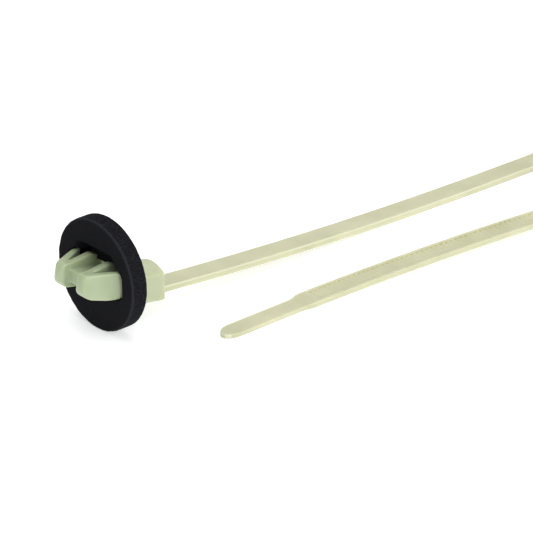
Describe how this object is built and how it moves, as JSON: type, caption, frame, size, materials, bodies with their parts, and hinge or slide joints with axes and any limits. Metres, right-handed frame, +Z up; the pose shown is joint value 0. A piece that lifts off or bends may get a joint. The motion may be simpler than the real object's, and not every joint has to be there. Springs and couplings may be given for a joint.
{
  "type": "fir tree cable tie",
  "caption": "Moulded cable tie with an oval fir tree plug, a foam sealing disc and a slotted head; its toothed strap lies folded back beside itself.",
  "frame": {"origin": "middle of the foam disc's sealing face, which is where the centre of the panel's oval hole would be", "axes": "+X from the disc along the strap to its loop, +Z up from the table that the part lies on, the strap's tail on the -Y side"},
  "size_m": [0.1365, 0.0365, 0.0238],
  "materials": {
    "nylon": "satin, slightly translucent natural nylon",
    "foam": "matt closed-cell foam with a smooth skin on its face"
  },
  "bodies": {
    "root": {"tie_body": "nylon", "foam_disc": "foam"}
  },
  "joints": []
}
